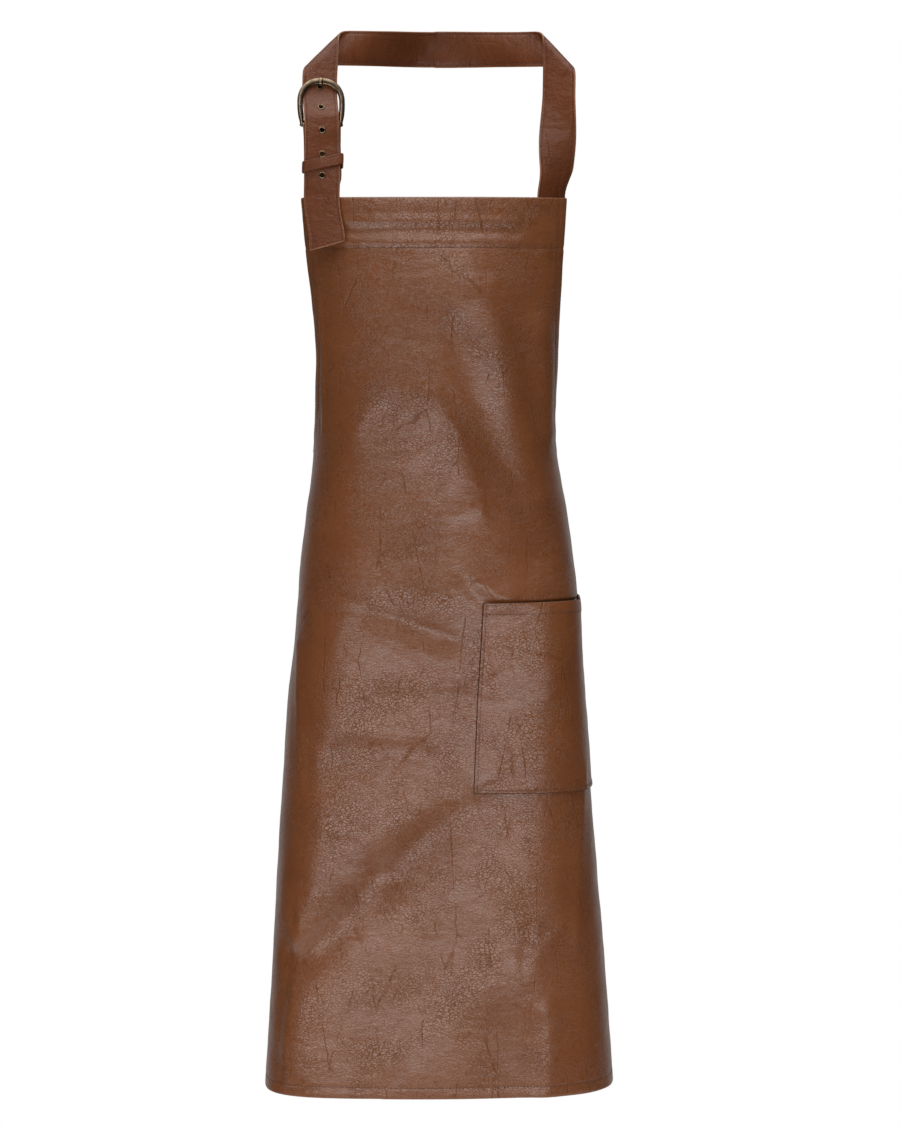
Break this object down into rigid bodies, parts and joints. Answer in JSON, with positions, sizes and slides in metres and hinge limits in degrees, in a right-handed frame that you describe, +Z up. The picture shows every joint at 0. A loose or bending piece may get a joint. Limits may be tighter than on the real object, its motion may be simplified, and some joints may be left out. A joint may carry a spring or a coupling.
{
  "type": "blacksmith apron",
  "caption": "Full-length bib apron of brown coated leather cloth in its worn form, with a patch pocket on one side, a buckled neck strap and waist ties closed behind.",
  "frame": {"origin": "on the nape of the neck, at the middle of the inner face of the neck strap's run behind the neck", "axes": "+Z up along the wearer, -Y out of the wearer's chest, +X towards the side that has the pocket"},
  "size_m": [0.3603, 0.2226, 1.0822],
  "materials": {
    "brown_leather": "satin, pebbled grain",
    "antique_brass": "dark, aged, satin"
  },
  "bodies": {
    "root": {"apron_panel": "brown_leather", "pocket": "brown_leather", "neck_strap": "brown_leather", "buckle_strap": "brown_leather", "keeper_loop": "brown_leather", "waist_tie_left": "brown_leather", "waist_tie_right": "brown_leather", "waist_knot": "brown_leather", "buckle_frame": "antique_brass", "buckle_prong": "antique_brass", "eyelet_1": "antique_brass", "eyelet_2": "antique_brass", "eyelet_3": "antique_brass", "eyelet_4": "antique_brass", "eyelet_5": "antique_brass"}
  },
  "joints": []
}
